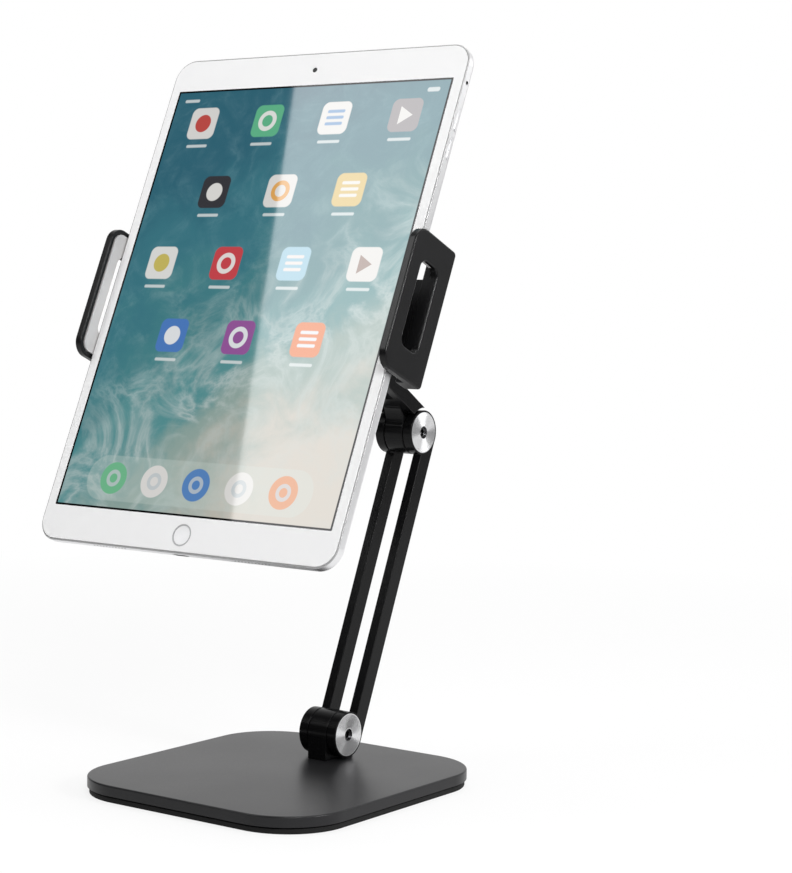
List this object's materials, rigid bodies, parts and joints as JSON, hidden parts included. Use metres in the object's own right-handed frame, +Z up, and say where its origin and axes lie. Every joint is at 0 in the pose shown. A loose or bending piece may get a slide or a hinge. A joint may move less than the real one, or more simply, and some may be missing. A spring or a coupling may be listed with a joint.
{
  "type": "tablet prompter stand",
  "caption": "Folding desk stand with a weighted rounded base, twin-bar lower arm, windowed upper arm and a spring clamp with slotted padded jaws that holds a white tablet as a prompter screen.",
  "frame": {"origin": "centre of the base plate's outline, on the table under the foot pad", "axes": "+X to the right along the hinge axes as seen from the front, +Y to the rear, +Z up"},
  "size_m": [0.1828, 0.1885, 0.3489],
  "materials": {
    "base_paint": "satin",
    "foot_rubber": "matte",
    "arm_paint": "satin",
    "cap_steel": "spun",
    "fastener_steel": "satin",
    "bolt_black": "black oxide",
    "washer_plastic": "matte",
    "clamp_plastic": "matte",
    "jaw_silicone": "matte",
    "rest_silicone": "matte",
    "gear_plastic": "satin",
    "shell_aluminium": "fine blasted",
    "front_glass": "polished, white border",
    "display": "lit picture",
    "button_white": "polished",
    "lens_black": "polished",
    "cell_wrap": "matte",
    "board_green": "satin"
  },
  "bodies": {
    "base": {"base_plate": "base_paint", "foot_pad": "foot_rubber", "hinge_post": "arm_paint", "post_screw_front": "fastener_steel", "post_screw_rear": "fastener_steel"},
    "lower_arms": {"left_arm": "arm_paint", "right_arm": "arm_paint", "lower_pin": "bolt_black", "lower_cap_left": "cap_steel", "lower_cap_right": "cap_steel", "lower_washer_left": "washer_plastic", "lower_washer_right": "washer_plastic", "upper_pin": "bolt_black", "upper_cap_left": "cap_steel", "upper_cap_right": "cap_steel", "upper_washer_left": "washer_plastic", "upper_washer_right": "washer_plastic"},
    "upper_arm": {"upper_arm": "arm_paint"},
    "tilt_head": {"tilt_head": "arm_paint", "tilt_pin": "bolt_black", "tilt_cap_left": "cap_steel", "tilt_cap_right": "cap_steel", "tilt_washer_left": "washer_plastic", "tilt_washer_right": "washer_plastic", "swivel_washer": "washer_plastic", "swivel_bolt": "fastener_steel"},
    "clamp": {"clamp_back": "clamp_plastic", "clamp_cover": "clamp_plastic", "clamp_rest": "rest_silicone", "clamp_screw_1": "fastener_steel", "clamp_screw_2": "fastener_steel", "clamp_screw_3": "fastener_steel", "clamp_screw_4": "fastener_steel", "spring_upper": "fastener_steel", "spring_lower": "fastener_steel"},
    "pinion": {"pinion": "gear_plastic"},
    "left_jaw": {"left_jaw": "clamp_plastic", "left_jaw_pad": "jaw_silicone"},
    "right_jaw": {"right_jaw": "clamp_plastic", "right_jaw_pad": "jaw_silicone"},
    "tablet": {"tablet_shell": "shell_aluminium", "cover_glass": "front_glass", "display_panel": "display", "home_ring": "shell_aluminium", "front_camera": "lens_black", "rear_camera": "lens_black", "battery": "cell_wrap", "main_board": "board_green", "charge_port": "fastener_steel"},
    "home_button": {"home_button": "button_white"},
    "power_button": {"power_button": "shell_aluminium"},
    "volume_up": {"volume_up": "shell_aluminium"},
    "volume_down": {"volume_down": "shell_aluminium"}
  },
  "joints": [
    {"name": "arm_lean", "type": "hinge", "parent": "base", "child": "lower_arms", "pos_m": [0, 0.0405, 0.0203], "axis": [1, 0, 0], "range_deg": [-45, 25]},
    {"name": "upper_arm_rise", "type": "hinge", "parent": "lower_arms", "child": "upper_arm", "pos_m": [0, 0.1007, 0.16563], "axis": [1, 0, 0], "range_deg": [-45, 15]},
    {"name": "head_tilt", "type": "hinge", "parent": "upper_arm", "child": "tilt_head", "pos_m": [0, 0.01266, 0.22193], "axis": [1, 0, 0], "range_deg": [-45, 25]},
    {"name": "clamp_swivel", "type": "hinge", "parent": "tilt_head", "child": "clamp", "pos_m": [0, 0.01049, 0.21698], "axis": [0, -0.9157, 0.4019], "continuous": true},
    {"name": "right_jaw_slide", "type": "slide", "parent": "clamp", "child": "right_jaw", "axis": [1, 0, 0], "range_m": [0, 0.02], "stiffness_N_per_m": 300, "deforming": ["spring_lower"]},
    {"name": "left_jaw_slide", "type": "slide", "parent": "clamp", "child": "left_jaw", "axis": [-1, 0, 0], "range_m": [0, 0.02], "deforming": ["spring_upper"]},
    {"name": "pinion_turn", "type": "hinge", "parent": "clamp", "child": "pinion", "pos_m": [0, -0.01057, 0.22623], "axis": [0, -0.9157, 0.4019], "range_deg": [0, 164.2]},
    {"name": "tablet_lift_out", "type": "slide", "parent": "clamp", "child": "tablet", "axis": [0, -0.9157, 0.4019], "range_m": [0, 0.03]},
    {"name": "home_button_press", "type": "slide", "parent": "tablet", "child": "home_button", "axis": [0, 0.9157, -0.4019], "range_m": [0, 0.0003], "stiffness_N_per_m": 2000},
    {"name": "power_button_press", "type": "slide", "parent": "tablet", "child": "power_button", "axis": [0, -0.4019, -0.9157], "range_m": [0, 0.0003], "stiffness_N_per_m": 2000},
    {"name": "volume_up_press", "type": "slide", "parent": "tablet", "child": "volume_up", "axis": [-1, 0, 0], "range_m": [0, 0.0003], "stiffness_N_per_m": 2000},
    {"name": "volume_down_press", "type": "slide", "parent": "tablet", "child": "volume_down", "axis": [-1, 0, 0], "range_m": [0, 0.0003], "stiffness_N_per_m": 2000}
  ],
  "couplings": [
    {"joint": "left_jaw_slide", "follows": "right_jaw_slide", "ratio": 1},
    {"joint": "pinion_turn", "follows": "right_jaw_slide", "rad_per_m": 142.86}
  ]
}
